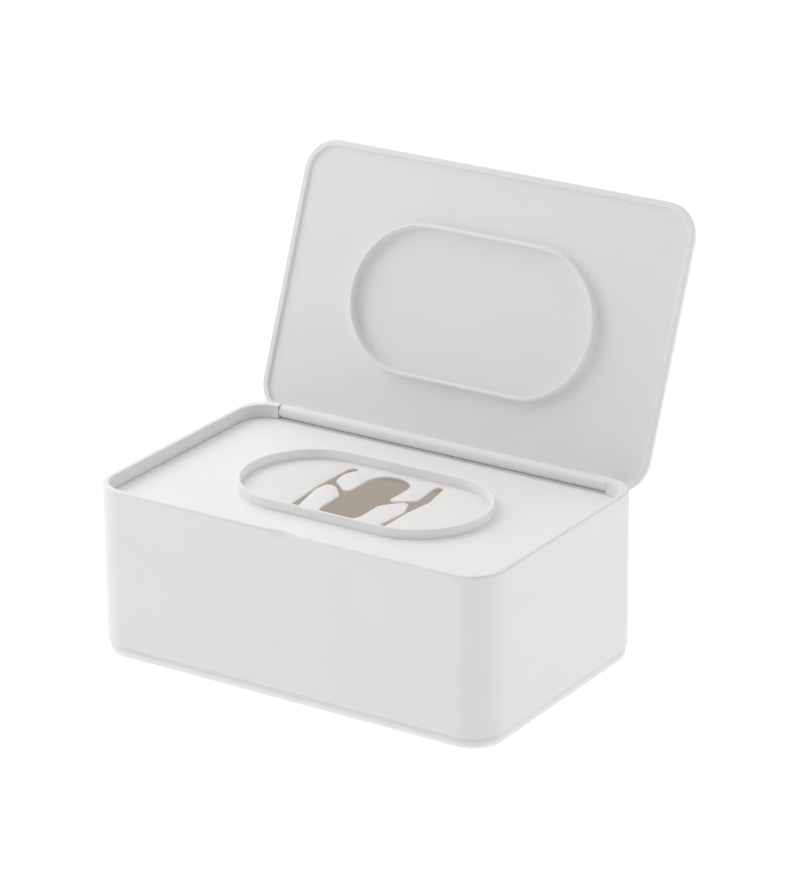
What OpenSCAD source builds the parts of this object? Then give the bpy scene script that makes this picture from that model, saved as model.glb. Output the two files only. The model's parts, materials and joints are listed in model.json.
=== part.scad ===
// Wipe warmer: a moulded case with a heated tub, a lift-out inner cover
// with a soft dispensing outlet, and a full-width lid on two hinge pins.
// Millimetres, Z up. The origin is under the middle of the case, on the
// surface that it stands on. The front is towards -Y.

/* [Case] */
// Width of the case, left to right
body_w = 200; // [190:1:230]
// Depth of the case, front to back
body_d = 126.5; // [120:0.5:150]
// Height of the case wall above the plinth
wall_h = 72; // [66:1:100]
// Radius of the four upright corners
corner_r = 15.5; // [14:0.5:20]
// Thickness of the case wall
wall = 2.8; // [2.2:0.1:3.4]
// Round on the outer edge of the rim
rim_round = 1; // [0.4:0.1:1.6]
// Width of the ledge that carries the tub
ledge_w = 4; // [3:0.5:6]
// Thickness of the ledge
ledge_t = 3; // [2:0.5:5]

/* [Plinth] */
// Height of the plinth below the case wall
plinth_h = 6; // [5:0.5:12]
// How far the plinth stands in from the case wall
plinth_inset = 0.8; // [0.4:0.1:2]
// Round on the lower edge of the plinth
plinth_round = 2.4; // [1:0.1:2.8]
// Thickness of the floor of the plinth
floor_t = 2.4; // [2:0.1:3]
// Height of the locating rim inside the case
spigot_h = 4; // [3:0.5:8]
// Thickness of the locating rim
spigot_t = 1.8; // [1.2:0.1:2.5]

/* [Feet and screws] */
// Radius of a foot
foot_r = 6; // [4:0.5:8]
// Depth of a foot's pocket
foot_pocket = 1; // [0.6:0.1:1.4]
// Distance of a foot from the plinth's sides
foot_in = 24; // [20:1:34]
// Distance of a case screw from the case wall's inner face
boss_in = 8; // [6:0.5:10]
// Radius of a screw boss
boss_r = 4; // [3.5:0.5:5]
// Radius of a screw's shank
screw_r = 1.5; // [1.2:0.1:1.8]
// Radius of a screw's head
screw_head_r = 2.9; // [2.5:0.1:3.4]
// Length of a case screw
screw_l = 12; // [10:1:16]

/* [Lid and hinge] */
// Thickness of the lid at its edge
lid_t = 3.2; // [2.6:0.1:5]
// Depth of the recess inside the lid
lid_recess = 1.3; // [0.8:0.1:1.4]
// Width of the lip round the recess
lip_w = 2.6; // [2:0.1:4]
// Round on the lid's outer edge
lid_round = 1.4; // [0.6:0.1:1.8]
// Gap between the closed lid and the rim
lid_gap = 0.3; // [0.2:0.1:0.6]
// Radius of the hinge bar
bar_r = 2.75; // [2.5:0.05:3.2]
// Depth of the hinge axis below the rim
axis_drop = 3; // [3:0.1:4]
// Radius of a hinge pin
pin_r = 1.25; // [1:0.05:1.4]
// Length of a hinge pin
pin_l = 12; // [10:1:18]
// How deep a hinge pin sits in its lug
pin_seat = 4.4; // [3.6:0.1:4.4]
// Gap at each end of the hinge bar
bar_end_gap = 0.4; // [0.3:0.1:1]
// How far the lid turns, from closed to open
lid_travel = 111.75; // [100:0.25:112]
// Height of the sealing ring inside the lid
ring_h = 4.4; // [4:0.1:5]
// Thickness of the sealing ring
ring_t = 1.2; // [0.8:0.1:1.6]
// Half the length of the sealing ring
ring_a = 62.2; // [61.5:0.1:66]
// Half the width of the sealing ring
ring_b = 33.8; // [33.7:0.1:37]

/* [Inner cover and outlet] */
// Depth of the inner cover below the rim
deck_drop = 6.2; // [6:0.1:9]
// Thickness of the inner cover
cover_t = 2.4; // [2:0.1:3]
// Gap between the inner cover and the case wall
cover_gap = 0.35; // [0.2:0.05:0.6]
// Half the length of the outlet's collar
collar_a = 59.5; // [54:0.5:60]
// Half the width of the outlet's collar
collar_b = 32.2; // [30:0.1:32.3]
// Height of the collar above the inner cover
collar_h = 4.5; // [3.5:0.1:5]
// Thickness of the collar
collar_t = 1.2; // [0.8:0.1:1.6]
// Thickness of the outlet's floor
outlet_t = 1.2; // [0.8:0.1:1.6]
// Width of the step that the outlet sits on
step_w = 2.2; // [2:0.1:3.5]
// Height of the snap bead below the inner cover
bead_h = 1.2; // [0.8:0.1:1.6]

/* [Tub] */
// Depth inside the tub, from its flange to its floor
tub_depth = 44; // [38:1:46]
// Thickness of the tub
tub_t = 1.6; // [1.2:0.1:2.2]
// Thickness of the tub's flange
flange_t = 1.5; // [1.2:0.1:2.5]
// Gap between the tub and the case
tub_gap = 0.5; // [0.3:0.1:1]
// Thickness of the gasket under the inner cover
gasket_t = 1; // [0.8:0.1:1.5]
// Width of the gasket
gasket_w = 2.4; // [2:0.1:3]

/* [Heater] */
// Length of the heater plate
plate_l = 150; // [120:1:160]
// Width of the heater plate
plate_w = 84; // [70:1:88]
// Thickness of the heater plate
plate_t = 1.2; // [0.8:0.1:2]
// Thickness of the heating film
film_t = 0.5; // [0.3:0.1:0.8]
// Thickness of the insulation
pad_t = 3; // [2:0.5:3.5]
// Thickness of the carrier tray
carrier_t = 2; // [1.6:0.1:2.2]
// Radius of the thermostat
thermostat_r = 6; // [5:0.5:7]

/* [Electronics] */
// Length of the control board
board_l = 64; // [54:1:80]
// Width of the control board
board_w = 38; // [34:1:48]
// Thickness of the control board
board_t = 1.6; // [1:0.1:2]
// Height of the board's standoffs
standoff_h = 3; // [2.5:0.5:3.5]
// Radius of the power socket's bore
socket_r = 2.9; // [2.7:0.1:3.2]
// Radius of the power socket's barrel
inlet_r = 4; // [4:0.1:4.5]
// Distance of the power socket from the middle
inlet_x = 62; // [52:1:70]

/* [Hidden] */
$fn = 64;
over = 1;             // how far a cut runs past the face it opens
fit = 0.35;           // gap round a piece that slides into another
run = 0.05;           // radial gap of the lid on its pins
touch = 0.05;         // gap between a lead's end and what it is joined to
edge_round = 0.4;     // small round on a moulded edge

// Levels, from the surface that the plinth stands on
z_wall = plinth_h;
z_rim = z_wall + wall_h;
z_lip = z_rim + lid_gap;
z_deck = z_rim - deck_drop;
z_cover = z_deck - cover_t;
z_flange = z_cover - gasket_t;
z_ledge = z_flange - flange_t;
z_tub = z_flange - tub_depth - tub_t;
z_plate = z_tub - plate_t;
z_film = z_plate - film_t;
z_pad = z_film - pad_t;
z_carrier = z_pad - carrier_t;
z_board = floor_t + standoff_h;

// Plan sizes of the case
in_w = body_w - 2 * wall;
in_d = body_d - 2 * wall;
in_r = corner_r - wall;
plinth_w = body_w - 2 * plinth_inset;
plinth_d = body_d - 2 * plinth_inset;
spigot_w = in_w - 2 * fit;
spigot_d = in_d - 2 * fit;
foot_x = plinth_w / 2 - foot_in;
foot_y = plinth_d / 2 - foot_in;
boss_x = in_w / 2 - boss_in;
boss_y = in_d / 2 - boss_in;
boss_foot = floor_t + 2;
head_t = 1.8;
boss_hole_r = 0.85 * screw_r;

// Plan sizes of the tub
tub_w = in_w - 2 * ledge_w - 2 * tub_gap;
tub_d = in_d - 2 * ledge_w - 2 * tub_gap;
tub_r = max(tub_t + 2, in_r - ledge_w - tub_gap);
tub_round = min(4, tub_r);

// Hinge: the bar's back is flush with the case, the open lid's heel stops just above the wall
axis_y = body_d / 2 - bar_r;
axis_z = z_rim - axis_drop;
lug_r = axis_drop - 0.05;
lug_x = body_w / 2 - corner_r + 0.5;
bar_l = 2 * (lug_x - bar_end_gap);
lip_over = lid_gap + axis_drop;
heel_tilt = lid_travel - 90;
// The open lid's back face runs down towards the back; this is its height at the case's back
heel_z = axis_z - bar_r / cos(heel_tilt) - bar_r * tan(heel_tilt);
z_cut = heel_z - 0.3;
notch_w = 20;
notch_h = 3.7;
notch_d = 1.5;

// Inner cover, whose back edge clears the hinge bar and the lugs
cover_w = in_w - 2 * cover_gap;
cover_d = in_d - 2 * cover_gap;
cover_r = in_r - cover_gap;
cover_back = axis_y - max(bar_r, lug_r) - cover_gap;

// Heater stack
film_in = 5;
film_l = plate_l - 2 * film_in;
film_w = plate_w - 2 * film_in;
carrier_l = plate_l + 8;
carrier_w = plate_w + 6;
post_x = carrier_l / 2 - 4;
post_y = carrier_w / 2 + 3;
post_r = 3;
sensor_x = 34;
fuse_x = -34;
fuse_r = 2;
fuse_l = 12;
sensor_r = 1.6;
window_gap = 0.6;
fuse_tail = 4;
film_tail_x = fuse_x - fuse_l / 2 - fuse_tail - 12;

// Board, in the back left quarter: its right end and its front edge keep their places
board_x = -board_l / 2;
board_front = -3;
board_y = board_front + board_w / 2;
hole_in = 3.5;
board_top = z_board + board_t;
chip = 9;
cap_r = 4;
cap_h = 6;
terminal_w = 10;
terminal_d = 7;
terminal_h = 6;
terminal_x = board_l / 2 - terminal_w / 2 - 8;
terminal_y = board_w / 2 - 4;
cap_x = -board_l / 2 + hole_in + cap_r + 5;

// Power socket on the back wall, just above the plinth's locating rim
nut_r = inlet_r + 2.2;
nut_t = 2;
inlet_z = z_wall + spigot_h + 0.5 + nut_r;
inlet_flange_r = inlet_r + 1.8;
inlet_flange_t = 1.2;
inlet_thread_l = wall + nut_t + 1;
inlet_body = inlet_r + 0.5;
inlet_body_l = 7;
inlet_back = body_d / 2 - inlet_thread_l - inlet_body_l;
contact_r = 1;

// A slab with round upright corners and, where asked, round top and bottom edges
module edge_section(reach, h, top, bottom) {
    difference() {
        square([reach, h]);
        if (top > 0)
            translate([reach - top, h - top]) difference() { square(top + over); circle(r = top); }
        if (bottom > 0)
            translate([reach - bottom, bottom]) mirror([0, 1])
                difference() { square(bottom + over); circle(r = bottom); }
    }
}
module slab(w, d, r, h, top = 0, bottom = 0) {
    for (x = [-1, 1], y = [-1, 1])
        translate([x * (w / 2 - r), y * (d / 2 - r), 0])
            rotate_extrude() edge_section(r, h, top, bottom);
    for (m = [0, 1]) {
        mirror([0, m, 0]) translate([-w / 2 + r, 0, 0]) rotate([90, 0, 90])
            linear_extrude(w - 2 * r) edge_section(d / 2, h, top, bottom);
        mirror([m, 0, 0]) translate([0, d / 2 - r, 0]) rotate([90, 0, 0])
            linear_extrude(d - 2 * r) edge_section(w / 2, h, top, bottom);
    }
}

// An obround plate: half length a, half width b
module obround(a, b) {
    for (s = [-1, 1]) translate([s * (a - b), 0]) circle(r = b, $fn = 96);
    square([2 * (a - b), 2 * b], center = true);
}
module obround_ring(a, b, t, h) {
    linear_extrude(h) difference() { obround(a, b); obround(a - t, b - t); }
}

// One copy in each quarter
module corners(x, y) {
    for (sx = [-1, 1], sy = [-1, 1]) translate([sx * x, sy * y, 0]) children();
}

// A polygon whose corners are [x, y, radius]
function corner_arc(p, i) =
    let (n = len(p), here = [p[i][0], p[i][1]],
         before = [p[(i + n - 1) % n][0], p[(i + n - 1) % n][1]],
         after = [p[(i + 1) % n][0], p[(i + 1) % n][1]],
         u = (before - here) / norm(before - here), v = (after - here) / norm(after - here),
         half = acos(max(-1, min(1, u * v))) / 2, r = p[i][2],
         mid = here + (u + v) / norm(u + v) * (r / sin(half)),
         s = here + u * (r / tan(half)) - mid, e = here + v * (r / tan(half)) - mid,
         a0 = atan2(s[1], s[0]), turn = (atan2(e[1], e[0]) - a0 + 540) % 360 - 180,
         steps = max(2, ceil(abs(turn) / 12)))
    [for (j = [0:steps]) mid + r * [cos(a0 + turn * j / steps), sin(a0 + turn * j / steps)]];
function rounded(p) = [for (i = [0:len(p) - 1]) each corner_arc(p, i)];

// A round lead along a smooth curve through its points, with a straight length at each end
function unit(v) = v / norm(v);
function smooth(p, steps) =
    [p[0],
     for (i = [1:len(p) - 3], j = [0:steps - 1])
        let (t = j / steps, a = p[i - 1], b = p[i], c = p[i + 1], d = p[i + 2])
        0.5 * (2 * b + (c - a) * t + (2 * a - 5 * b + 4 * c - d) * t * t
               + (3 * b - a - 3 * c + d) * t * t * t),
     p[len(p) - 2], p[len(p) - 1]];
function tangent(p, i) = unit(p[min(i + 1, len(p) - 1)] - p[max(i - 1, 0)]);
function side(p, i) =
    let (t = tangent(p, i), last = i == 0 ? (abs(t[2]) > 0.9 ? [1, 0, 0] : [0, 0, 1]) : side(p, i - 1))
    unit(last - t * (t * last));
module lead(points, r) {
    sides = 8;
    path = smooth(points, 3);
    rings = [for (i = [0:len(path) - 1])
        let (u = side(path, i), v = cross(tangent(path, i), u))
        for (k = [0:sides - 1]) path[i] + r * (u * cos(360 * k / sides) + v * sin(360 * k / sides))];
    last = (len(path) - 1) * sides;
    polyhedron(points = rings,
        faces = concat([[for (k = [0:sides - 1]) k]], [[for (k = [sides - 1:-1:0]) last + k]],
            [for (i = [0:len(path) - 2], k = [0:sides - 1])
                let (a = i * sides + k, b = i * sides + (k + 1) % sides)
                [a, a + sides, b + sides, b]]));
}

// The outlet's opening: a long middle mouth, two side slits and the wavy necks that join them
mouth_y = 26.4;
mouth_x = 10.2;
slit_x = 24.4;
outlet_points = [
    [mouth_x, -mouth_y, 9.5], [mouth_x - 0.6, -4.6, 7], [18.4, 6.3, 2.4], [23.1, -4.2, 9],
    [21, -mouth_y, 1.1], [slit_x, -mouth_y, 1.3], [slit_x, -5, 20], [slit_x + 1.8, 9.6, 9],
    [slit_x - 1.3, mouth_y + 0.4, 1.9], [19, mouth_y + 0.2, 1.8], [20.8, 8.6, 3.4], [mouth_x, 1.2, 1.8],
    [mouth_x, mouth_y, 9.5], [-mouth_x, mouth_y, 9.5], [-mouth_x - 0.2, 0.4, 2], [-21.7, 10, 2.6],
    [-23, 18, 9], [-20, 24.9, 0.4], [-20.8, mouth_y, 0.6], [-slit_x - 0.1, 25.6, 3.5],
    [-slit_x - 0.8, 1, 40], [-slit_x + 1.4, -mouth_y, 1.6], [-18.6, -mouth_y, 1.8], [-23.8, -2.5, 9],
    [-22.7, 5.2, 2.4], [-17.4, 3.9, 3.5], [-mouth_x - 0.8, -3.4, 4], [-mouth_x + 0.2, -mouth_y, 9.5]];

// Case shell: four walls open at the top and bottom, with the rim cut away at the back for the lid
module case_shell() {
    color("white") difference() {
        union() {
            difference() {
                translate([0, 0, z_wall]) slab(body_w, body_d, corner_r, wall_h, top = rim_round, bottom = edge_round);
                translate([0, 0, z_wall - over]) slab(in_w, in_d, in_r, wall_h + 2 * over);
            }
            case_ledge();
            case_bosses();
            case_lugs();
        }
        hinge_cut();
        for (s = [-1, 1]) translate([s * lug_x, axis_y, axis_z]) rotate([0, s * 90, 0])
            translate([0, 0, -over]) cylinder(r = pin_r, h = over + pin_seat);
        thumb_notch();
        inlet_hole();
    }
}
// The ledge that the tub's flange rests on, with small ribs under it
module case_ledge() {
    rib = 1.6;
    difference() {
        translate([0, 0, z_ledge - ledge_t]) slab(in_w + wall, in_d + wall, in_r + wall / 2, ledge_t);
        translate([0, 0, z_ledge - ledge_t - over])
            slab(in_w - 2 * ledge_w, in_d - 2 * ledge_w, tub_r + tub_gap, ledge_t + 2 * over);
    }
    for (s = [-1, 1], k = [-2:2])
        translate([k * in_w / 6, s * in_d / 2, z_ledge - ledge_t]) rotate([90, 0, 90])
            linear_extrude(rib, center = true)
                polygon([[s * wall / 2, 0], [-s * ledge_w * 0.8, 0], [s * wall / 2, -2 * ledge_w]]);
}
// Screw bosses that stand free of the tub, each tied to the end wall by a rib
module case_bosses() {
    rib = 1.8;
    top = z_tub - 2;
    difference() {
        for (sx = [-1, 1], sy = [-1, 1]) {
            translate([sx * boss_x, sy * boss_y, boss_foot]) cylinder(r = boss_r, h = top - boss_foot);
            translate([sx > 0 ? boss_x : -boss_x - boss_in - wall / 2, sy * boss_y - rib / 2, z_wall + spigot_h + fit])
                cube([boss_in + wall / 2, rib, top - z_wall - spigot_h - fit]);
        }
        corners(boss_x, boss_y) translate([0, 0, boss_foot - over])
            cylinder(r = boss_hole_r, h = screw_l - head_t + over);
    }
}
// Lugs that hold the hinge pins, turned about the hinge axis and trimmed to the case's outline
module case_lugs() {
    intersection() {
        for (s = [-1, 1]) translate([s * lug_x, axis_y, axis_z]) rotate([0, s * 90, 0])
            cylinder(r = lug_r, h = corner_r - over);
        translate([0, 0, z_wall]) slab(body_w, body_d, corner_r, wall_h);
    }
}
// The rear rim is cut down between the corners; behind the lugs only their round backs stay
module hinge_cut() {
    reach = lug_x + corner_r - 6;
    front = axis_y - bar_r - 0.3;
    translate([-lug_x, front, z_cut]) cube([2 * lug_x, body_d, wall_h]);
    difference() {
        translate([-reach, min(axis_y, in_d / 2), z_cut]) cube([2 * reach, body_d, wall_h]);
        for (s = [-1, 1]) translate([s * (lug_x - over), axis_y, axis_z]) rotate([0, s * 90, 0])
            cylinder(r = lug_r, h = corner_r + 2 * over);
    }
}
// A shallow round pocket in the front of the rim, for a fingertip under the lid
module thumb_notch() {
    r = (notch_w * notch_w / 4 + notch_h * notch_h) / (2 * notch_h);
    translate([0, -body_d / 2 + notch_d, z_rim - notch_h + r]) rotate([90, 0, 0])
        cylinder(r = r, h = notch_d + over, $fn = 96);
}
module inlet_hole() {
    translate([inlet_x, body_d / 2 + over, inlet_z]) rotate([90, 0, 0])
        cylinder(r = inlet_r + 0.1, h = wall + 2 * over);
}

// Plinth: the bottom cover, with a locating rim, screw wells, foot pockets and board standoffs
module base_plinth() {
    cavity_w = spigot_w - 2 * spigot_t;
    cavity_d = spigot_d - 2 * spigot_t;
    color("white") difference() {
        union() {
            difference() {
                union() {
                    slab(plinth_w, plinth_d, corner_r - plinth_inset, plinth_h, bottom = plinth_round);
                    translate([0, 0, floor_t])
                        slab(spigot_w, spigot_d, in_r - fit, plinth_h - floor_t + spigot_h);
                }
                translate([0, 0, floor_t])
                    slab(cavity_w, cavity_d, in_r - fit - spigot_t, plinth_h + spigot_h);
                corners(boss_x, boss_y) translate([0, 0, floor_t]) cylinder(r = boss_r + fit, h = plinth_h + spigot_h);
            }
            corners(boss_x, boss_y) cylinder(r = boss_r, h = boss_foot);
            corners(foot_x, foot_y) cylinder(r = foot_r + 1.5, h = floor_t + foot_pocket);
            board_holes() cylinder(r = 2.6, h = z_board);
        }
        corners(boss_x, boss_y) translate([0, 0, -over]) {
            cylinder(r = screw_r + 0.2, h = plinth_h + spigot_h);
            cylinder(r = screw_head_r + 0.3, h = over + floor_t);
        }
        corners(foot_x, foot_y) translate([0, 0, -over]) cylinder(r = foot_r, h = over + foot_pocket);
        board_holes() translate([0, 0, floor_t]) cylinder(r = 0.9, h = standoff_h + over);
    }
}
// Non-slip pads, glued in shallow pockets level with the plinth's underside
module rubber_feet() {
    color("gray") corners(foot_x, foot_y) cylinder(r = foot_r - 0.1, h = foot_pocket);
}
// A pan-head screw pointing up, with a cross recess in its head
module screw(r, head_r, head, length) {
    difference() {
        union() {
            cylinder(r = head_r, h = head);
            translate([0, 0, head]) cylinder(r = r, h = length - head);
        }
        for (a = [0, 90]) rotate([0, 0, a])
            translate([-head_r * 0.6, -head_r * 0.12, -over]) cube([head_r * 1.2, head_r * 0.24, over + head * 0.6]);
    }
}
module base_screws() {
    color("silver") corners(boss_x, boss_y) translate([0, 0, floor_t - head_t])
        screw(boss_hole_r, screw_head_r, head_t, screw_l);
}

// Tub: the inner liner that holds the wipes, hung from its flange
module wipe_tub() {
    color("linen") difference() {
        union() {
            translate([0, 0, z_ledge]) slab(in_w - 2 * tub_gap, in_d - 2 * tub_gap, in_r - tub_gap, flange_t);
            translate([0, 0, z_tub]) slab(tub_w, tub_d, tub_r, z_flange - z_tub, bottom = tub_round);
            for (sx = [-1, 1], sy = [-1, 1]) translate([sx * post_x, sy * post_y, z_pad])
                cylinder(r = post_r, h = z_tub - z_pad + tub_t / 2);
        }
        translate([0, 0, z_tub + tub_t])
            slab(tub_w - 2 * tub_t, tub_d - 2 * tub_t, tub_r - tub_t, tub_depth + over, bottom = tub_round - tub_t);
        for (sx = [-1, 1], sy = [-1, 1]) translate([sx * post_x, sy * post_y, z_pad - over])
            cylinder(r = 0.9, h = over + z_tub - z_pad);
    }
}

// Heater stack under the tub: plate, film, insulation and the tray that presses them up
module heater_plate() {
    color("silver") translate([0, 0, z_plate]) slab(plate_l, plate_w, 4, plate_t);
}
module heating_film() {
    color("sienna") translate([0, 0, z_film]) slab(film_l, film_w, 3, film_t);
}
// Windows for the thermostat, the fuse with its tails, the sensor and the film's tail
module sensor_windows(z, h) {
    fuse_w = 2 * (fuse_r + window_gap);
    fuse_reach = fuse_l + 2 * fuse_tail;
    translate([0, 0, z]) cylinder(r = thermostat_r + window_gap, h = h);
    translate([fuse_x - fuse_reach / 2, -fuse_w / 2, z]) cube([fuse_reach, fuse_w, h]);
    translate([sensor_x, 0, z]) cylinder(r = sensor_r + window_gap, h = h);
    translate([film_tail_x - 2, -4, z]) cube([4, 8, h]);
}
module insulation_pad() {
    color("dimgray") difference() {
        translate([0, 0, z_pad]) slab(plate_l, plate_w, 4, pad_t);
        sensor_windows(z_pad - over, pad_t + 2 * over);
    }
}
module heater_carrier() {
    color("whitesmoke") difference() {
        union() {
            translate([0, 0, z_carrier]) slab(carrier_l, carrier_w, 6, carrier_t);
            for (sx = [-1, 1], sy = [-1, 1]) translate([sx * post_x, sy * post_y, z_carrier])
                cylinder(r = post_r + 1, h = carrier_t);
            for (y = [-1, 1]) translate([-carrier_l / 2 + 6, y * carrier_w / 3 - 0.8, z_carrier - 1.5])
                cube([carrier_l - 12, 1.6, 2]);
        }
        sensor_windows(z_carrier - over, carrier_t + 2 * over);
        for (sx = [-1, 1], sy = [-1, 1]) translate([sx * post_x, sy * post_y, z_carrier - over])
            cylinder(r = 1.3, h = carrier_t + 2 * over);
    }
}
module carrier_screws() {
    color("silver") for (sx = [-1, 1], sy = [-1, 1])
        translate([sx * post_x, sy * post_y, z_carrier - 1.4]) screw(0.9, 2.2, 1.4, carrier_t + pad_t + 1.4);
}
module thermostat() {
    color("black") translate([0, 0, thermostat_z]) cylinder(r = thermostat_r, h = z_film - thermostat_z);
    color("silver") for (s = [-1, 1]) translate([s * 3 - 0.4, -1.6, thermostat_z - tab_h]) cube([0.8, 3.2, tab_h]);
}
module thermal_fuse() {
    color("silver") translate([fuse_x, 0, z_film - fuse_r]) rotate([0, 90, 0])
        cylinder(r = fuse_r, h = fuse_l, center = true);
}
module temperature_sensor() {
    color("saddlebrown") translate([sensor_x, 0, z_carrier]) cylinder(r = sensor_r, h = z_film - z_carrier);
}

// Control board on its four standoffs
module board_holes() {
    for (sx = [-1, 1], sy = [-1, 1])
        translate([board_x + sx * (board_l / 2 - hole_in), board_y + sy * (board_w / 2 - hole_in), 0]) children();
}
module control_board() {
    color("darkgreen") difference() {
        translate([board_x, board_y, z_board]) slab(board_l, board_w, 1.5, board_t);
        board_holes() translate([0, 0, z_board - over]) cylinder(r = 1.1, h = board_t + 2 * over);
    }
}
// Two screw terminals, the sensor's plug, a chip, a capacitor and a choke
module board_parts() {
    color("dimgray") translate([board_x, board_y, board_top]) {
        translate([-chip / 2, -chip / 2, 0]) cube([chip, chip, 1.4]);
        for (y = [-1, 1]) translate([terminal_x - terminal_w / 2, y * terminal_y - terminal_d / 2, 0])
            difference() {
                cube([terminal_w, terminal_d, terminal_h]);
                for (k = [0.3, 0.7]) translate([k * terminal_w, terminal_d / 2, terminal_h - 1])
                    cylinder(r = 1.1, h = 1 + over);
            }
        translate([-terminal_x - terminal_w / 2, -terminal_y - terminal_d / 2, 0])
            cube([terminal_w, terminal_d, terminal_h]);
        translate([cap_x, 0, 0]) cylinder(r = cap_r, h = cap_h);
        translate([cap_x + 2 * cap_r + 2, -3, 0]) cube([6, 6, 4]);
    }
}
module board_screws() {
    color("silver") board_holes() translate([0, 0, board_top + 1.2]) mirror([0, 0, 1])
        screw(0.9, 1.9, 1.2, 1.2 + board_t + standoff_h - 0.4);
}

// Power socket: a barrel through the back wall, held by a nut inside
module power_inlet() {
    bore_l = inlet_thread_l + inlet_body_l - 2;
    color("black") translate([inlet_x, body_d / 2, inlet_z]) rotate([90, 0, 0]) difference() {
        union() {
            translate([0, 0, -inlet_flange_t]) cylinder(r = inlet_flange_r, h = inlet_flange_t);
            cylinder(r = inlet_r, h = inlet_thread_l);
            translate([-inlet_body, -inlet_body, inlet_thread_l])
                cube([2 * inlet_body, 2 * inlet_body, inlet_body_l]);
        }
        difference() {
            translate([0, 0, -inlet_flange_t - over]) cylinder(r = socket_r, h = inlet_flange_t + over + bore_l);
            cylinder(r = contact_r, h = bore_l);
        }
    }
}
module inlet_nut() {
    color("silver") translate([inlet_x, body_d / 2 - wall, inlet_z]) rotate([90, 0, 0]) difference() {
        cylinder(r = nut_r, h = nut_t, $fn = 6);
        translate([0, 0, -over]) cylinder(r = inlet_r + 0.1, h = nut_t + 2 * over);
    }
}

// Leads between the socket, the board and the heater; each end meets its piece square on
lead_r = 0.7;
lead_gap = 2;
terminal_z = board_top + terminal_h / 2;
terminal_side = board_x + terminal_x + terminal_w / 2 + touch;
terminal_back = board_y + terminal_y;
terminal_front = board_y - terminal_y;
thermostat_z = z_film - pad_t - carrier_t - 1;
tab_h = 2;
tab_x = 3;
tab_z = thermostat_z - tab_h - touch;
tray_z = z_carrier - lead_r - 0.5;
fuse_z = z_film - fuse_r;
fuse_end = fuse_l / 2 + touch;
// Two leads from the socket's underside, along the floor and up to the board's back terminal
module inlet_leads() {
    back = inlet_back + lead_gap;
    under = inlet_z - inlet_body;
    low = floor_t + lead_gap;
    color("firebrick") for (k = [-lead_gap, lead_gap]) lead([
        [inlet_x + k, back, under - touch], [inlet_x + k, back, under - lead_gap],
        [inlet_x - 3 * lead_gap, back + k, low], [5 * lead_gap, terminal_back + k, low],
        [lead_gap, terminal_back + k, terminal_z], [terminal_side + lead_gap, terminal_back + k, terminal_z],
        [terminal_side, terminal_back + k, terminal_z]], lead_r);
}
// Board to thermostat, thermostat to fuse, fuse to film, and film back to the board
module heater_leads() {
    near = fuse_x + fuse_end;
    far = fuse_x - fuse_end;
    color("goldenrod") {
        lead([[terminal_side, terminal_front + lead_gap, terminal_z],
              [terminal_side + lead_gap, terminal_front + lead_gap, terminal_z],
              [tab_x, lead_gap, terminal_z], [tab_x, 0, tab_z - lead_gap / 2], [tab_x, 0, tab_z]], lead_r);
        lead([[-tab_x, 0, tab_z], [-tab_x, 0, tab_z - lead_gap / 2], [-tab_x - lead_gap, -2.5 * lead_gap, tab_z],
              [-6 * lead_gap, -3 * lead_gap, tray_z - lead_gap / 4], [near + 3 * lead_gap, -lead_gap, tray_z],
              [near + lead_gap, 0, tray_z], [near + lead_gap, 0, fuse_z - lead_gap / 2],
              [near + lead_gap / 2, 0, fuse_z], [near, 0, fuse_z]], lead_r);
        lead([[far, 0, fuse_z], [far - lead_gap / 2, 0, fuse_z], [far - lead_gap, 0, fuse_z - lead_gap / 2],
              [far - lead_gap, 0, tray_z], [film_tail_x + 3 * lead_gap, lead_gap, tray_z],
              [film_tail_x, lead_gap, tray_z], [film_tail_x, lead_gap, z_film - lead_gap],
              [film_tail_x, lead_gap, z_film - touch]], lead_r);
        lead([[film_tail_x, -lead_gap, z_film - touch], [film_tail_x, -lead_gap, z_film - lead_gap],
              [film_tail_x, -lead_gap, tray_z], [film_tail_x + 3 * lead_gap, -4 * lead_gap, tray_z],
              [fuse_x, -5 * lead_gap, tray_z - lead_gap / 2],
              [terminal_side - lead_gap, -5 * lead_gap, terminal_z + lead_gap / 2],
              [terminal_side + 2 * lead_gap, -3 * lead_gap, terminal_z],
              [terminal_side + lead_gap, terminal_front - lead_gap, terminal_z],
              [terminal_side, terminal_front - lead_gap, terminal_z]], lead_r);
    }
}
// The sensor's lead runs in front of the board to its plug
module sensor_leads() {
    x = board_x - terminal_x;
    y = terminal_front - terminal_d / 2 - touch;
    lane = board_front - 10 * lead_gap;
    color("slategray") lead([
        [sensor_x, 0, z_carrier - touch], [sensor_x, 0, z_carrier - lead_gap],
        [sensor_x - 3 * lead_gap, -4 * lead_gap, board_top + lead_gap], [0, lane, board_top],
        [x + 6 * lead_gap, lane, board_top], [x, y - 5 * lead_gap, terminal_z - lead_gap / 2],
        [x, y - lead_gap, terminal_z], [x, y, terminal_z]], lead_r);
}

// Hinge pins, pressed into the lugs and running in the ends of the lid's bar
module hinge_pin(s) {
    color("silver") translate([s * (lug_x + pin_seat), axis_y, axis_z]) rotate([0, -s * 90, 0])
        cylinder(r = pin_r, h = pin_l);
}
module hinge_pin_left() { hinge_pin(-1); }
module hinge_pin_right() { hinge_pin(1); }

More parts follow.
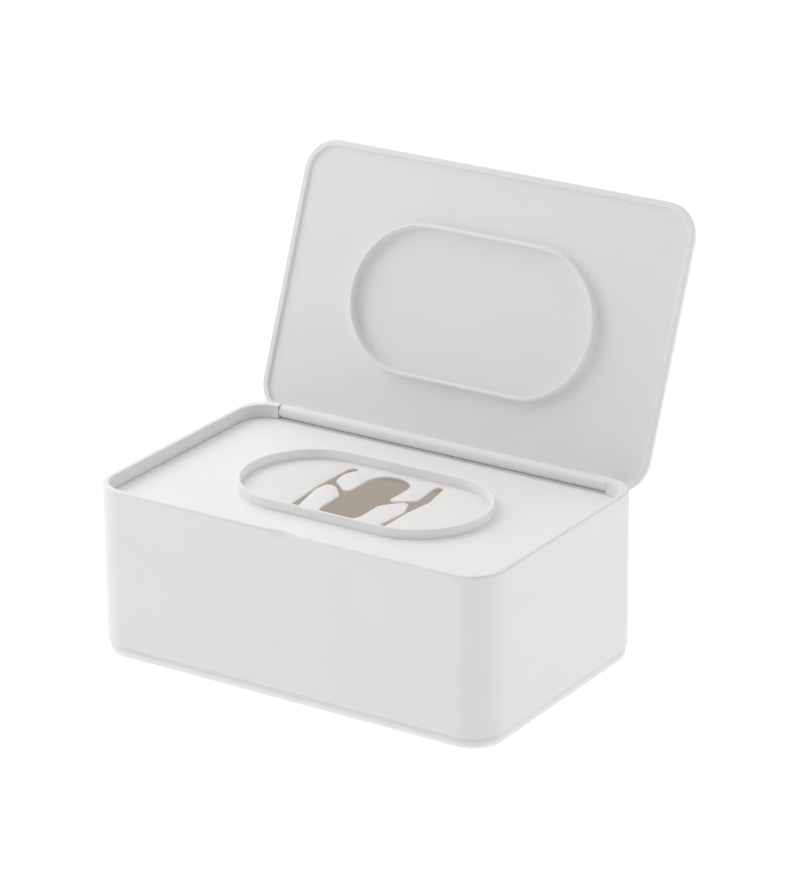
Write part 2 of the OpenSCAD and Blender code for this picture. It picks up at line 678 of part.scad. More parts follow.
// Lid, drawn closed and then turned open about its hinge axis
module open_about_hinge() {
    translate([0, axis_y, axis_z]) rotate([-lid_travel, 0, 0]) translate([0, -axis_y, -axis_z]) children();
}
module lid() {
    color("white") open_about_hinge() difference() {
        union() {
            difference() {
                translate([0, 0, z_lip]) slab(body_w, body_d, corner_r, lid_t, top = lid_round, bottom = edge_round);
                translate([0, 0, z_lip - over])
                    slab(body_w - 2 * lip_w, body_d - 2 * lip_w, corner_r - lip_w, lid_recess + over);
            }
            translate([0, 0, z_lip + lid_recess - ring_h]) obround_ring(ring_a, ring_b, ring_t, ring_h + 0.2);
            hinge_bar();
        }
        for (s = [-1, 1]) translate([s * (bar_l / 2 + over), axis_y, axis_z]) rotate([0, -s * 90, 0])
            cylinder(r = pin_r + run, h = over + pin_l - pin_seat - bar_end_gap + 0.5);
    }
}
// The bar runs along the lid's back edge and hangs down to the hinge axis
module hinge_bar() {
    translate([-bar_l / 2, axis_y, axis_z]) rotate([0, 90, 0]) cylinder(r = bar_r, h = bar_l);
    translate([-bar_l / 2, axis_y - bar_r, axis_z])
        cube([bar_l, 2 * bar_r - 0.05, lip_over + lid_recess + 0.2]);
}

// Inner cover: the deck inside the rim, with a stepped opening for the outlet
module inner_cover() {
    color("white") difference() {
        translate([0, 0, z_cover]) intersection() {
            slab(cover_w, cover_d, cover_r, cover_t, top = edge_round);
            translate([-body_w, -body_d, -over]) cube([2 * body_w, body_d + cover_back, cover_t + 2 * over]);
        }
        translate([0, 0, z_deck - outlet_t]) linear_extrude(outlet_t + over) obround(collar_a, collar_b);
        translate([0, 0, z_cover - over]) linear_extrude(cover_t + over)
            obround(collar_a - step_w, collar_b - step_w);
    }
}
// Outlet: a soft moulding with a collar, a floor with the opening, and a skirt that snaps under the cover
module dispensing_outlet() {
    skirt_gap = 0.1;
    bead = 0.8;
    skirt_t = 1.2;
    skirt_a = collar_a - step_w - skirt_gap;
    skirt_b = collar_b - step_w - skirt_gap;
    z_floor = z_deck - outlet_t;
    z_bead = z_cover - 0.05 - bead_h;
    color("whitesmoke") {
        translate([0, 0, z_floor]) linear_extrude(outlet_t) difference() {
            obround(collar_a, collar_b);
            polygon(rounded(outlet_points));
        }
        translate([0, 0, z_floor]) obround_ring(collar_a, collar_b, collar_t, outlet_t + collar_h);
        translate([0, 0, z_bead]) obround_ring(skirt_a, skirt_b, skirt_t, z_floor - z_bead + outlet_t / 2);
        translate([0, 0, z_bead]) obround_ring(skirt_a + bead, skirt_b + bead, bead + skirt_t, bead_h);
    }
}
// Gasket: a soft ring on the cover's underside that seals on the tub's flange
module cover_gasket() {
    inset = ledge_w + tub_gap - gasket_w;
    back = cover_back - 0.3;
    front = inset - in_d / 2;
    w = in_w - 2 * inset;
    color("lightgray") translate([0, (back + front) / 2, z_flange]) difference() {
        slab(w, back - front, in_r - inset, gasket_t);
        translate([0, 0, -over])
            slab(w - 2 * gasket_w, back - front - 2 * gasket_w, in_r - inset - gasket_w, gasket_t + 2 * over);
    }
}

case_shell();
base_plinth();
rubber_feet();
base_screws();
wipe_tub();
heater_plate();
heating_film();
insulation_pad();
heater_carrier();
carrier_screws();
thermostat();
thermal_fuse();
temperature_sensor();
control_board();
board_parts();
board_screws();
power_inlet();
inlet_nut();
inlet_leads();
heater_leads();
sensor_leads();
hinge_pin_left();
hinge_pin_right();
lid();
inner_cover();
dispensing_outlet();
cover_gasket();
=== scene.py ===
"""Wipe warmer: the looks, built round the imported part. Sizes are in millimetres unless they end in _M."""
import json
import math
from collections import namedtuple
import bmesh
import bpy
from mathutils import Matrix, Vector


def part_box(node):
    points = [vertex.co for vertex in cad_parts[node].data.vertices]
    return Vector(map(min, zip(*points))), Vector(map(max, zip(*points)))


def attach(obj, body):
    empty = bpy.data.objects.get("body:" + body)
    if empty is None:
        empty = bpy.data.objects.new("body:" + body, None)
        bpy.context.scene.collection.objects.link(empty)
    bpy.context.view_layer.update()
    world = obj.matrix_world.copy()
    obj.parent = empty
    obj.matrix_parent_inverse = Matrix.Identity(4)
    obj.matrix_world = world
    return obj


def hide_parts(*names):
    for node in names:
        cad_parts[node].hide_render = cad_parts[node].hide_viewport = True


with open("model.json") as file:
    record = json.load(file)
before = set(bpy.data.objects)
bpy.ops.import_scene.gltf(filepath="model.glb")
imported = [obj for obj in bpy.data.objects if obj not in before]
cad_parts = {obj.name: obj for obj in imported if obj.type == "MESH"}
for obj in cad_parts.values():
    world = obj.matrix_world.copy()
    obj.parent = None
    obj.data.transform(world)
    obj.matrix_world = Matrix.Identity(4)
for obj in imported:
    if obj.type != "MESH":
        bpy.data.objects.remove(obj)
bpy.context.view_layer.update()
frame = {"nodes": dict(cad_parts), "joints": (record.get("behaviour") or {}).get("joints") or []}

# Case shell: the four walls of the warmer, injection-moulded in white ABS with a fine satin
# grain. Its rim is cut down at the back for the lid's bar and carries two round hinge lugs.
EVEN = (1, 1, 1)    # a pattern that isn't stretched
MOTTLE = 0.006      # how far the colour varies to each side, as a share


class Wire:
    """One value in a material's nodes. Arithmetic on it adds Math nodes."""

    def __init__(self, tree, out=None):
        self.tree, self.out = tree, out

    def node(self, kind, inputs=None, output=0, **settings):
        made = self.tree.nodes.new("ShaderNode" + kind)
        for key, value in settings.items():
            setattr(made, key, value)
        for where, value in (inputs or {}).items():
            if isinstance(value, Wire):
                self.tree.links.new(value.out, made.inputs[where])
            else:
                made.inputs[where].default_value = value
        return Wire(self.tree, made.outputs[output])

    def math(self, operation, *values):
        return self.node("Math", dict(enumerate(values)), operation=operation)

    def __add__(self, other):
        return self.math("ADD", self, other)

    def __mul__(self, other):
        return self.math("MULTIPLY", self, other)

    __radd__, __rmul__ = __add__, __mul__

    def between(self, low, high):
        """0 below low, 1 above high."""
        return self.node("MapRange", {0: self, 1: low, 2: high}, interpolation_type="SMOOTHSTEP")

    def blend(self, first, second):
        """A colour: first where this value is 0, second where it is 1."""
        return self.node("Mix", {0: self, 6: first, 7: second}, output=2, data_type="RGBA")

    def noise(self, scale, detail, stretch):
        """Noise in the object's own space; scale is the number of lumps in a metre."""
        where = self.node("TexCoord", output=3)
        if stretch != EVEN:
            where = self.node("VectorMath", {0: where, 1: stretch}, operation="MULTIPLY")
        return self.node("TexNoise", {"Vector": where, "Scale": scale, "Detail": detail})


def shade(colour, factor):
    return tuple(min(1, c * factor) for c in colour) + (1,)


def surface(name, colour, roughness, spread=0.04, lumps=45, grain=2600, depth=0.012, stretch=EVEN,
            constants=None):
    """A material with uneven colour, uneven gloss and a fine grain, all in the object's space."""
    made = bpy.data.materials.new(name)
    made.use_nodes = True
    tree = made.node_tree
    shader = tree.nodes["Principled BSDF"]
    start = Wire(tree)
    cloudy = start.noise(lumps, 3, stretch)
    fine = start.noise(grain, 2, stretch)
    patches = cloudy.between(0.3, 0.7)
    links = {
        "Base Color": patches.blend(shade(colour, 1 - MOTTLE), shade(colour, 1 + MOTTLE)),
        "Roughness": cloudy * spread + fine * spread + (roughness - spread),
        "Normal": start.node("Bump", {"Height": fine, "Strength": 0.5, "Distance": depth / 1000})}
    for socket, value in links.items():
        tree.links.new(value.out, shader.inputs[socket])
    for socket, value in (constants or {}).items():
        shader.inputs[socket].default_value = value
    return made


def section(corners, closed=False, steps=5, flat=0.05):
    """The points of a section whose corners are (out, up, radius), with a short flat at each round."""
    points = []
    for i, (x, y, radius) in enumerate(corners):
        here = Vector((x, y))
        if radius == 0 or (not closed and i in (0, len(corners) - 1)):
            points.append(here)
            continue
        before = (Vector(corners[i - 1][:2]) - here).normalized()
        after = (Vector(corners[(i + 1) % len(corners)][:2]) - here).normalized()
        half = before.angle(after) / 2
        reach = radius / math.tan(half)
        middle = here + (before + after).normalized() * (radius / math.sin(half))
        start = here + before * reach - middle
        turn = start.angle_signed(here + after * reach - middle)
        points.append(here + before * (reach + flat))
        for j in range(steps + 1):
            points.append(middle + Matrix.Rotation(-turn * j / steps, 2) @ start)
        points.append(here + after * (reach + flat))
    return points


Outline = namedtuple("Outline", "half_x half_y radius middle_y", defaults=[0])


def rounded_loop(bm, outline, steps):
    """The edges of a rounded rectangle, each corner in so many steps."""
    known = set(bm.verts)
    bmesh.ops.create_grid(bm, x_segments=1, y_segments=1, size=1)
    ends = [v for v in bm.verts if v not in known]
    bmesh.ops.scale(bm, vec=(outline.half_x, outline.half_y, 1), verts=ends)
    bmesh.ops.translate(bm, vec=(0, outline.middle_y, 0), verts=ends)
    bmesh.ops.bevel(bm, geom=ends, offset=outline.radius, offset_type="OFFSET", affect="VERTICES",
                    segments=steps, profile=0.5, material=-1)
    bmesh.ops.remove_doubles(bm, verts=[v for v in bm.verts if v not in known], dist=0.001)
    face = next(f for f in bm.faces if known.isdisjoint(f.verts))
    edges = list(face.edges)
    bmesh.ops.delete(bm, geom=[face], context="FACES_ONLY")
    return edges


def extrude(bm, loop):
    """Extrudes a loop in place. Returns the new vertices and the new loop's edges."""
    made = bmesh.ops.extrude_edge_only(bm, edges=loop)["geom"]
    verts = {g for g in made if isinstance(g, bmesh.types.BMVert)}
    return verts, [g for g in made if isinstance(g, bmesh.types.BMEdge) and verts.issuperset(g.verts)]


def settle(verts, before, outline, out, height):
    """Moves a loop from one outline to another, and out beyond it. Each point keeps its angle
    round its corner."""
    for v in verts:
        side_x = math.copysign(1, v.co.x)
        side_y = math.copysign(1, v.co.y - before.middle_y)
        away = Vector((v.co.x - side_x * (before.half_x - before.radius),
                       v.co.y - before.middle_y - side_y * (before.half_y - before.radius)))
        away = away.normalized() * (outline.radius + out)
        v.co = (side_x * (outline.half_x - outline.radius) + away.x,
                side_y * (outline.half_y - outline.radius) + outline.middle_y + away.y, height)


def sweep(bm, *parts, closed=False, steps=18):
    """Sweeps sections round rounded rectangles. Each part is an outline and its section's points
    (out, up). Returns the edges of the first and the last loop."""
    before = parts[0][0]
    first = loop = rounded_loop(bm, before, steps)
    verts = {v for e in loop for v in e.verts}
    for outline, points in parts:
        for out, height in points:
            if verts is None:
                verts, loop = extrude(bm, loop)
            settle(verts, before, outline, out, height)
            verts, before = None, outline
    if closed:
        bmesh.ops.bridge_loops(bm, edges=first + loop)
    return first, loop


def cylinder(bm, radius, start, end, segments=48):
    """A capped cylinder between two points."""
    start, end = Vector(start), Vector(end)
    along = end - start
    turn = Vector((0, 0, 1)).rotation_difference(along).to_matrix().to_4x4()
    bmesh.ops.create_cone(bm, cap_ends=True, segments=segments, radius1=radius, radius2=radius,
                          depth=along.length, matrix=Matrix.Translation((start + end) / 2) @ turn)


def block(bm, low, high):
    """A block between its lowest and its highest corner."""
    low, high = Vector(low), Vector(high)
    bmesh.ops.create_cube(bm, size=1, matrix=Matrix.Translation((low + high) / 2)
                          @ Matrix.Diagonal((*(high - low), 1)))


def solid(name, maker):
    """An object, in metres, from a function that fills a bmesh in millimetres."""
    bm = bmesh.new()
    maker(bm)
    bmesh.ops.recalc_face_normals(bm, faces=bm.faces)
    bmesh.ops.scale(bm, vec=(0.001, 0.001, 0.001), verts=bm.verts)
    mesh = bpy.data.meshes.new(name)
    bm.to_mesh(mesh)
    bm.free()
    made = bpy.data.objects.new(name, mesh)
    bpy.context.collection.objects.link(made)
    return made


def combine(piece, operation, *tools):
    """Joins ("UNION") or cuts away ("DIFFERENCE") the tools, which are makers of solids or objects,
    and removes them."""
    for tool in tools:
        if not isinstance(tool, bpy.types.Object):
            tool = solid("tool", tool)
        change = piece.modifiers.new("combine", "BOOLEAN")
        change.operation = operation
        change.solver = "EXACT"
        change.object = tool
        bpy.context.view_layer.update()
        changed = piece.evaluated_get(bpy.context.evaluated_depsgraph_get())
        mesh = bpy.data.meshes.new_from_object(changed)
        piece.modifiers.clear()
        piece.data = mesh
        bpy.data.objects.remove(tool)


SHARP = math.radians(30)        # edges that bend more than this stay sharp


def dress(piece, material, body, node):
    """Gives a piece its shading and material, and its place in the frame instead of a CAD node."""
    piece.data.materials.clear()
    piece.data.materials.append(material)
    piece.data.shade_smooth()
    piece.data.set_sharp_from_angle(angle=SHARP)
    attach(piece, body)
    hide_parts(node)


def box_mm(node):
    """The lowest and the highest corner of a CAD node, in millimetres."""
    return [tuple(round(1000 * v, 3) for v in corner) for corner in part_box(node)]


HALF_X, HALF_Y, Z_RIM = box_mm("case_shell")[1]
CORNER = 15.5
WALL = 2.8
Z_WALL = 6                      # the wall's lower edge
Z_LEDGE = 66.9                  # top of the ledge that the tub hangs on
LEDGE_W, LEDGE_T = 4, 3
FOOT_EDGE, RIM_EDGE, INNER_EDGE, LEDGE_EDGE = 0.4, 1, 0.45, 0.3
CASE = Outline(HALF_X, HALF_Y, CORNER)
INSIDE = Outline(HALF_X - WALL, HALF_Y - WALL, CORNER - WALL)

# The room for the inner cover is shorter than the case: its back is drawn in, so that the rim is
# thick at the two rear corners and a sill lies under the lid's bar.
cover_low, cover_high = box_mm("inner_cover")
COVER_GAP = 0.35
Z_COVER, Z_DECK = cover_low[2], cover_high[2]
ROOM = Outline(HALF_X - WALL, (cover_high[1] - cover_low[1]) / 2 + COVER_GAP, CORNER - WALL,
               (cover_high[1] + cover_low[1]) / 2)

hinge = next(joint for joint in frame["joints"] if joint["name"] == "lid_hinge")
AXIS_Y, AXIS_Z = (round(1000 * v, 3) for v in hinge["pos_m"][1:])
LUG_R = 2.95
LUG_X = HALF_X - CORNER + 0.5   # inner end of a lug, where the rear corner starts
CUT_X = HALF_X - 5.5            # how far out the rim is cut down behind the axis
Z_CUT = 70.62                   # level of that cut, just clear of the open lid's back face
NOTCH_W, NOTCH_H, NOTCH_D = 21, 2.6, 1.8
INLET_R = 4.1
PAST = 5                        # how far a block that cuts stands out past the wall
OVER = 1                        # how far a round tool stands out past the wall


def walls(bm):
    middle = -WALL / 2
    outside = section([(middle, Z_WALL, 0), (0, Z_WALL, FOOT_EDGE), (0, Z_RIM, RIM_EDGE),
                       (middle, Z_RIM, 0)])
    round_cover = section([(WALL / 4, Z_RIM, 0), (0, Z_RIM, INNER_EDGE), (0, Z_COVER, 0)])
    below_cover = section([
        (0, Z_COVER - LEDGE_EDGE, 0), (0, Z_LEDGE, LEDGE_EDGE), (-LEDGE_W, Z_LEDGE, LEDGE_EDGE),
        (-LEDGE_W, Z_LEDGE - LEDGE_T, LEDGE_EDGE), (0, Z_LEDGE - LEDGE_T, LEDGE_EDGE), (0, Z_WALL, 0)])
    sweep(bm, (CASE, outside), (ROOM, round_cover), (INSIDE, below_cover), closed=True)


def lugs(bm):
    for side in (-1, 1):
        cylinder(bm, LUG_R, (side * LUG_X, AXIS_Y, AXIS_Z), (side * (HALF_X + OVER), AXIS_Y, AXIS_Z), 72)


def under_the_bar(bm):
    back = ROOM.middle_y + ROOM.half_y
    block(bm, (-LUG_X, back - OVER, Z_DECK), (LUG_X, HALF_Y + PAST, Z_RIM + PAST))


def behind_the_axis(bm):
    block(bm, (-CUT_X, AXIS_Y, Z_CUT), (CUT_X, HALF_Y + PAST, Z_RIM + PAST))


def thumb_dish(bm):
    """A ball that dips into the wall, as wide, high and deep as the notch is at the rim."""
    half = NOTCH_W / 2
    circle = (half ** 2 + NOTCH_H ** 2) / (2 * NOTCH_H)
    ahead = (half ** 2 - NOTCH_D ** 2) / (2 * NOTCH_D)
    bmesh.ops.create_uvsphere(
        bm, u_segments=240, v_segments=120, radius=math.hypot(ahead, circle),
        matrix=Matrix.Translation((0, -HALF_Y - ahead, Z_RIM + circle - NOTCH_H)))


def inlet_hole(bm):
    low, high = box_mm("power_inlet")
    x, z = (low[0] + high[0]) / 2, (low[2] + high[2]) / 2
    cylinder(bm, INLET_R, (x, HALF_Y - WALL - OVER, z), (x, HALF_Y + OVER, z))


case = solid("case", walls)
heel_room = solid("heel_room", behind_the_axis)
combine(heel_room, "DIFFERENCE", lugs)
combine(case, "DIFFERENCE", under_the_bar, heel_room, thumb_dish, inlet_hole)
shell_white = surface("shell_white", (0.90, 0.90, 0.90), 0.42)
dress(case, shell_white, "case", "case_shell")

# Lid: the same ABS, moulded with a shallow recess, a thin ring that closes round the outlet's
# collar, and the long round bar that turns on the two pins. It is drawn closed, then opened.
LID_GAP = 0.3                   # between the rim and the closed lid
Z_LIP = Z_RIM + LID_GAP
LID_T, LID_EDGE = 3.2, 1.4
RECESS, LIP_W, LIP_EDGE = 1.3, 2.6, 0.4
RING = Outline(62.2, 33.8, 33.8)
RING_T, RING_H = 1.2, 4.4
FINE_EDGE, RECESS_EDGE = 0.35, 0.25
TOP_FLAT, RECESS_FLAT = 4, 1.5  # flat margins next to the rounded edges
BAR_R = 2.75
BAR_END_GAP = 0.4
BAR_HALF = LUG_X - BAR_END_GAP
WEB_INSET, WEB_SINK = 0.05, 0.2


def fill(bm, *loops):
    """A flat face inside one loop, or between two."""
    edges = [e for loop in loops for e in loop]
    if len(loops) == 1:
        bmesh.ops.edgeloop_fill(bm, edges=edges)
    else:
        bmesh.ops.triangle_fill(bm, use_beauty=True, use_dissolve=False, edges=edges, normal=(0, 0, 1))


def lid_plate(bm):
    top, inside = Z_LIP + LID_T, Z_LIP + RECESS
    plate = section([
        (-TOP_FLAT, top, 0), (0, top, LID_EDGE), (0, Z_LIP, LIP_EDGE), (-LIP_W, Z_LIP, FINE_EDGE),
        (-LIP_W, inside, RECESS_EDGE), (-LIP_W - RECESS_FLAT, inside, 0)])
    ring = section([
        (RECESS_FLAT, inside, 0), (0, inside, FINE_EDGE), (0, inside - RING_H, FINE_EDGE),
        (-RING_T, inside - RING_H, FINE_EDGE), (-RING_T, inside, FINE_EDGE),
        (-RING_T - RECESS_FLAT, inside, 0)])
    first, last = sweep(bm, (CASE, plate))
    fill(bm, first)
    outer, inner = sweep(bm, (RING, ring), steps=32)
    fill(bm, last, outer)
    fill(bm, inner)


def bar(bm):
    cylinder(bm, BAR_R, (-BAR_HALF, AXIS_Y, AXIS_Z), (BAR_HALF, AXIS_Y, AXIS_Z), 64)


def bar_web(bm):
    """Joins the bar to the plate: it stays just inside the bar's back and sinks into the plate."""
    block(bm, (-BAR_HALF, AXIS_Y - BAR_R, AXIS_Z),
          (BAR_HALF, AXIS_Y + BAR_R - WEB_INSET, Z_LIP + RECESS + WEB_SINK))


lid = solid("lid", lid_plate)
combine(lid, "UNION", bar_web, bar)
axis = Matrix.Translation(Vector((0, AXIS_Y, AXIS_Z)) / 1000)
opened = Matrix.Rotation(math.radians(-hinge["range_deg"][1]), 4, "X")
lid.data.transform(axis @ opened @ axis.inverted())
lid_white = surface("lid_white", (0.90, 0.896, 0.886), 0.42)
dress(lid, lid_white, "lid", "lid")

# Inner cover: a flat white deck that lifts out to load the wipes, moulded like the case. The
# outlet sits in its middle, on a step round the opening.
COVER = Outline(ROOM.half_x - COVER_GAP, ROOM.half_y - COVER_GAP, ROOM.radius - COVER_GAP, ROOM.middle_y)
COVER_EDGE, DECK_EDGE, DECK_FLAT = 0.3, 0.4, 3
COLLAR = Outline(59.5, 32.2, 32.2)
STEP_W = 2.2
FLOOR_T = 0.8                   # thickness of the outlet's floor


def deck(bm):
    rim = section([(-DECK_FLAT, Z_COVER, 0), (0, Z_COVER, COVER_EDGE), (0, Z_DECK, DECK_EDGE),
                   (-DECK_FLAT, Z_DECK, 0)])
    step = section([(-STEP_W, Z_COVER, 0), (-STEP_W, Z_DECK - FLOOR_T, 0), (0, Z_DECK - FLOOR_T, 0),
                    (0, Z_DECK, 0)])
    first, last = sweep(bm, (COVER, rim))
    low, high = sweep(bm, (COLLAR, step), steps=32)
    fill(bm, first, low)
    fill(bm, last, high)


cover = solid("cover", deck)
cover_white = surface("cover_white", (0.90, 0.90, 0.90), 0.4)
dress(cover, cover_white, "inner_cover", "inner_cover")

# Outlet: a soft white elastomer moulding, pressed into the deck's opening and held by a bead
# under it. Wipes are pulled through the wavy mouth, whose thin necks close round them.
COLLAR_T, COLLAR_H, COLLAR_EDGE = 1.2, 4.5, 0.45
COLLAR_FOOT, COLLAR_FLAT = 0.5, 1.2
SKIRT_GAP, SKIRT_T = 0.1, 1.2   # the skirt goes down through the deck, a small gap inside its step
BEAD_W, BEAD_T, BEAD_DROP = 0.8, 1.2, 1.25
BEAD_EDGE, BEAD_TOP_EDGE = 0.3, 0.2
MOUTH_X, MOUTH_Y, SLIT_X = 10.2, 26.4, 24.4
MOUTH = [
    (MOUTH_X, -MOUTH_Y, 9.5), (MOUTH_X - 0.6, -4.6, 7), (18.4, 6.3, 2.4), (23.1, -4.2, 9),
    (21, -MOUTH_Y, 1.1), (SLIT_X, -MOUTH_Y, 1.3), (SLIT_X, -5, 20), (SLIT_X + 1.8, 9.6, 9),
    (SLIT_X - 1.3, MOUTH_Y + 0.4, 1.9), (19, MOUTH_Y + 0.2, 1.8), (20.8, 8.6, 3.4), (MOUTH_X, 1.2, 1.8),
    (MOUTH_X, MOUTH_Y, 9.5), (-MOUTH_X, MOUTH_Y, 9.5), (-MOUTH_X - 0.2, 0.4, 2), (-21.7, 10, 2.6),
    (-23, 18, 9), (-20, 24.9, 0.4), (-20.8, MOUTH_Y, 0.6), (-SLIT_X - 0.1, 25.6, 3.5),
    (-SLIT_X - 0.8, 1, 40), (-SLIT_X + 1.4, -MOUTH_Y, 1.6), (-18.6, -MOUTH_Y, 1.8), (-23.8, -2.5, 9),
    (-22.7, 5.2, 2.4), (-17.4, 3.9, 3.5), (-MOUTH_X - 0.8, -3.4, 4), (-MOUTH_X + 0.2, -MOUTH_Y, 9.5)]
MOUTH_EDGE = 0.22               # radius of the round at the mouth's upper edge
AWAY = Matrix.Rotation(math.radians(-90), 2)


def mouth(bm, floor):
    """The mouth's wall, up from the floor's underside and rounded outwards at its top. Returns its
    lowest and its highest loop."""
    points = section(MOUTH, closed=True, steps=7, flat=0.02)
    outward = [AWAY @ (after - before).normalized()
               for before, after in zip(points[-1:] + points[:-1], points[1:] + points[:1])]
    ring = [bm.verts.new((*spot, floor)) for spot in points]
    first = loop = [bm.edges.new(pair) for pair in zip(ring, ring[1:] + ring[:1])]
    for turn in (0, 30, 60, 90):
        out = MOUTH_EDGE * (1 - math.cos(math.radians(turn)))
        height = Z_DECK - MOUTH_EDGE * (1 - math.sin(math.radians(turn)))
        fresh, loop = extrude(bm, loop)
        ring = [next(e.other_vert(v) for e in v.link_edges if e.other_vert(v) in fresh) for v in ring]
        for v, spot, away in zip(ring, points, outward):
            v.co = (*(spot + away * out), height)
    return first, loop


def outlet(bm):
    floor = Z_DECK - FLOOR_T
    top = Z_DECK + COLLAR_H
    skirt = -STEP_W - SKIRT_GAP
    bead = Z_COVER - BEAD_DROP
    collar = section([
        (skirt - SKIRT_T, floor, 0), (skirt - SKIRT_T, bead, BEAD_EDGE),
        (skirt + BEAD_W, bead, BEAD_EDGE), (skirt + BEAD_W, bead + BEAD_T, BEAD_TOP_EDGE),
        (skirt, bead + BEAD_T, 0), (skirt, floor, 0),
        (0, floor, 0), (0, top, COLLAR_EDGE), (-COLLAR_T, top, COLLAR_EDGE),
        (-COLLAR_T, Z_DECK, COLLAR_FOOT), (-COLLAR_T - COLLAR_FLAT, Z_DECK, 0)])
    under, above = sweep(bm, (COLLAR, collar), steps=32)
    mouth_low, mouth_high = mouth(bm, floor)
    fill(bm, under, mouth_low)
    fill(bm, above, mouth_high)


spout = solid("outlet", outlet)
outlet_soft = surface("outlet_soft", (0.90, 0.90, 0.895), 0.5, lumps=30, depth=0.006, constants={
    "Subsurface Weight": 0.5, "Subsurface Radius": (1, 1, 1), "Subsurface Scale": 0.003})
dress(spout, outlet_soft, "inner_cover", "dispensing_outlet")

# Plinth: the bottom cover, moulded like the case. It stands in a little under the wall and
# curves in towards its flat underside, where four screws go up and four pads are glued in.
PLINTH_X, PLINTH_Y, SPIGOT_Z = box_mm("base_plinth")[1]
PLINTH = Outline(PLINTH_X, PLINTH_Y, CORNER - (HALF_X - PLINTH_X))
CURVE_IN, CURVE_UP = 2.4, 3.2   # how far the underside's edge curves in and up
NECK_Z, NECK_IN, NECK_EDGE = 3.8, 0.7, 0.4
FLOOR, FLOOR_FLAT = 2.4, 2
SPIGOT_IN, SPIGOT_T, SPIGOT_EDGE = 2.35, 1.8, 0.3
BOSS, BOSS_R, BOSS_H = (89.2, 52.45), 4, 2
HEAD_R, SCREW_R = 3.2, 1.7
FOOT, FOOT_R, FOOT_POCKET, FOOT_WALL = (75.2, 38.45), 6, 1, 1.5
ROOT = 0.5                      # how high up in the floor a boss or a foot's seat starts


def plinth_body(bm):
    curve = [(-CURVE_IN * (1 - math.cos(a)), CURVE_UP * (1 - math.sin(a)))
             for a in (math.radians(d) for d in range(90, 0, -6))]
    inner = -SPIGOT_IN - SPIGOT_T
    rise = section([
        (0, CURVE_UP, 0), (0, NECK_Z, NECK_EDGE), (-NECK_IN, Z_WALL, 0), (-SPIGOT_IN, Z_WALL, 0),
        (-SPIGOT_IN, SPIGOT_Z, SPIGOT_EDGE), (inner, SPIGOT_Z, SPIGOT_EDGE),
        (inner, FLOOR, NECK_EDGE), (inner - FLOOR_FLAT, FLOOR, 0)])
    first, last = sweep(bm, (PLINTH, curve + rise))
    fill(bm, first)
    fill(bm, last)


def at_corners(bm, spot, radius, low, high):
    """Four upright cylinders at the same distances from the middle."""
    for x in (-spot[0], spot[0]):
        for y in (-spot[1], spot[1]):
            cylinder(bm, radius, (x, y, low), (x, y, high))


def bosses(bm):
    at_corners(bm, BOSS, BOSS_R, ROOT, FLOOR + BOSS_H)


def foot_seats(bm):
    at_corners(bm, FOOT, FOOT_R + FOOT_WALL, ROOT, FLOOR + FOOT_POCKET)


def head_wells(bm):
    at_corners(bm, BOSS, HEAD_R, -OVER, FLOOR)


def screw_holes(bm):
    at_corners(bm, BOSS, SCREW_R, -OVER, FLOOR + BOSS_H + 2 * OVER)


def foot_pockets(bm):
    at_corners(bm, FOOT, FOOT_R, -OVER, FOOT_POCKET)


plinth = solid("plinth", plinth_body)
combine(plinth, "UNION", bosses, foot_seats)
combine(plinth, "DIFFERENCE", head_wells, screw_holes, foot_pockets)
dress(plinth, shell_white, "case", "base_plinth")

# Inside: the plain tub of warm white polypropylene that holds the wipes, and everything that
# heats, joins and seals. These keep the CAD's shapes. The tub's colour is darkened to a warm
# beige, painted shade and warm bounce light inside the case, and its emission is a painted glow.
steel = surface("steel", (0.62, 0.62, 0.60), 0.3, stretch=(8, 1, 1), spread=0.12,
                constants={"Metallic": 1})
black_plastic = surface("black_plastic", (0.03, 0.03, 0.03), 0.45)
finishes = {
    # the tub's darker warm colour is painted shade and bounce light; its emission is a painted glow
    "wipe_tub": surface("tub_white", (0.60, 0.56, 0.51), 0.5, constants={
        "Emission Color": (1, 0.92, 0.86, 1), "Emission Strength": 0.18}),
    "rubber_feet": surface("foot_rubber", (0.30, 0.30, 0.30), 0.8, grain=1500, depth=0.05),
    "cover_gasket": surface("seal_grey", (0.45, 0.45, 0.45), 0.7),
    "heater_plate": surface("plate_aluminium", (0.80, 0.80, 0.81), 0.35, stretch=(1, 12, 1), spread=0.1,
                            constants={"Metallic": 1}),
    "heating_film": surface("film_amber", (0.55, 0.28, 0.08), 0.35),
    "insulation_pad": surface("pad_grey", (0.30, 0.30, 0.30), 0.95, grain=900, depth=0.2),
    "heater_carrier": surface("tray_nylon", (0.75, 0.74, 0.70), 0.55),
    "control_board": surface("board_green", (0.03, 0.22, 0.10), 0.4),
    "inlet_leads": surface("lead_red", (0.55, 0.05, 0.04), 0.5),
    "heater_leads": surface("lead_yellow", (0.75, 0.50, 0.08), 0.5),
    "sensor_leads": surface("lead_grey", (0.35, 0.37, 0.40), 0.5)}
for node in ("base_screws", "carrier_screws", "board_screws", "hinge_pin_left", "hinge_pin_right",
             "thermal_fuse", "inlet_nut"):
    finishes[node] = steel
for node in ("thermostat", "temperature_sensor", "board_parts", "power_inlet"):
    finishes[node] = black_plastic
for node, material in finishes.items():
    for place in frame["nodes"][node].material_slots:
        place.material = material

# Studio: a white surface that is bright enough to leave no shadow, a white room and soft lights.
# The strengths of the lamps come from fitting the tones of the photograph's main faces.
FLOOR_HALF_M = 30
FLOOR_DROP_M = 0.0003           # the surface lies this far below the plinth
LAMP_SIZE_M = 1.1
LAMPS_M = {                     # each lamp's place, and its power in watts
    "left": ((-0.9, -0.3, 0.8), 6.3), "back_left": ((-0.85, 0.5, 0.9), 5.4),
    "right": ((0.67, 0.39, 0.92), 2.8), "back_right": ((0.75, 0.8, 0.4), 1.6),
    "top": ((0, 0, 1.5), 1.4), "front": ((0, -0.9, 0.9), 0.8)}
AIM_M = Vector((0, 0, 0.05))

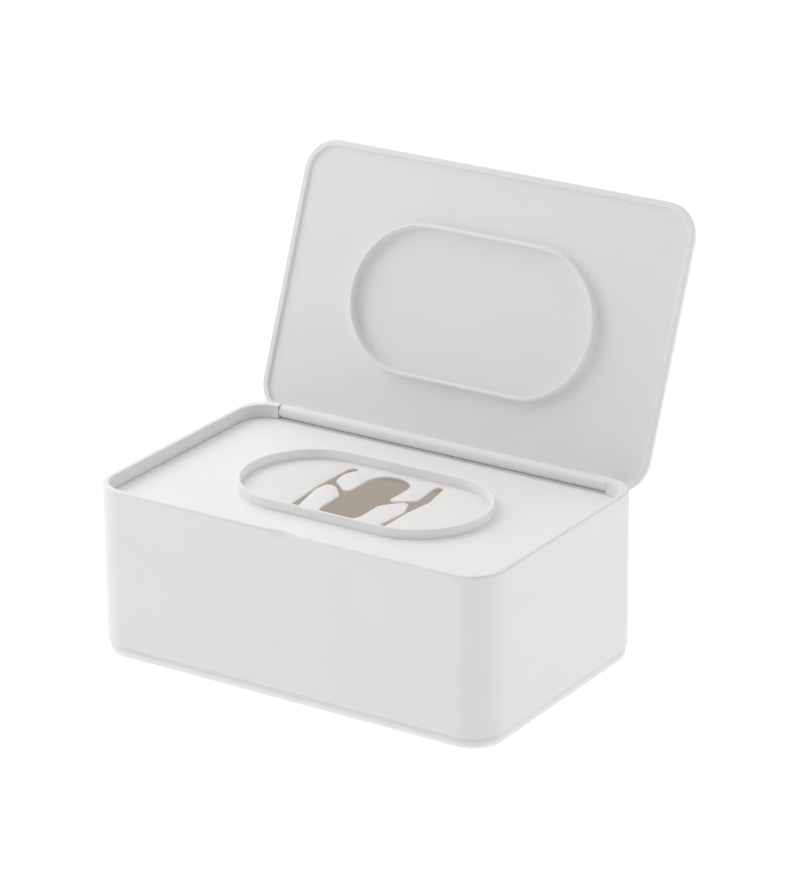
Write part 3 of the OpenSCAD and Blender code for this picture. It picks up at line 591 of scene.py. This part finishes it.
floor_mesh = bpy.data.meshes.new("floor")
bm = bmesh.new()
bmesh.ops.create_grid(bm, x_segments=1, y_segments=1, size=FLOOR_HALF_M)
bmesh.ops.translate(bm, vec=(0, 0, -FLOOR_DROP_M), verts=bm.verts)
bm.to_mesh(floor_mesh)
bm.free()
floor_mesh.materials.append(surface("floor_white", (0.1, 0.1, 0.1), 0.9, constants={
    "Emission Color": (1, 1, 1, 1), "Emission Strength": 0.98}))
floor = bpy.data.objects.new("floor", floor_mesh)
bpy.context.collection.objects.link(floor)

world = bpy.data.worlds.new("studio")
world.use_nodes = True
background = world.node_tree.nodes["Background"]
background.inputs["Color"].default_value = (1, 1, 1, 1)
background.inputs["Strength"].default_value = 0.28
bpy.context.scene.world = world
for name, (spot, power) in LAMPS_M.items():
    lamp = bpy.data.objects.new(name, bpy.data.lights.new(name, "AREA"))
    lamp.data.size = LAMP_SIZE_M
    lamp.data.energy = power
    lamp.location = spot
    lamp.rotation_euler = (AIM_M - Vector(spot)).to_track_quat("-Z", "Y").to_euler()
    bpy.context.collection.objects.link(lamp)
bpy.context.scene.view_settings.view_transform = "Standard"

# Camera: a long lens, a little above the box and to the right of its front. The angles, the
# distance and the shift of its place come from fitting the outlines of the case and the lid.
LENS = 172.09
AZIMUTH, ELEVATION, ROLL = (math.radians(a) for a in (33.268, 21.365, -0.506))
DISTANCE, TO_RIGHT, TO_TOP = 1822.557, 15.053, 42.881
AIM_Z = 50
CLIP_END_M = 50
look = Vector((-math.sin(AZIMUTH) * math.cos(ELEVATION), math.cos(AZIMUTH) * math.cos(ELEVATION),
               -math.sin(ELEVATION)))
right = Vector((math.cos(AZIMUTH), math.sin(AZIMUTH), 0))
up = right.cross(look)
turned_right = right * math.cos(ROLL) + up * math.sin(ROLL)
turned_up = up * math.cos(ROLL) - right * math.sin(ROLL)
stand = Vector((0, 0, AIM_Z)) - look * DISTANCE + right * TO_RIGHT + up * TO_TOP
camera = bpy.data.objects.new("camera", bpy.data.cameras.new("camera"))
camera.data.lens = LENS
camera.data.clip_end = CLIP_END_M
camera.matrix_world = Matrix.Translation(stand / 1000) @ Matrix(
    (turned_right, turned_up, -look)).transposed().to_4x4()
bpy.context.collection.objects.link(camera)
bpy.context.scene.camera = camera
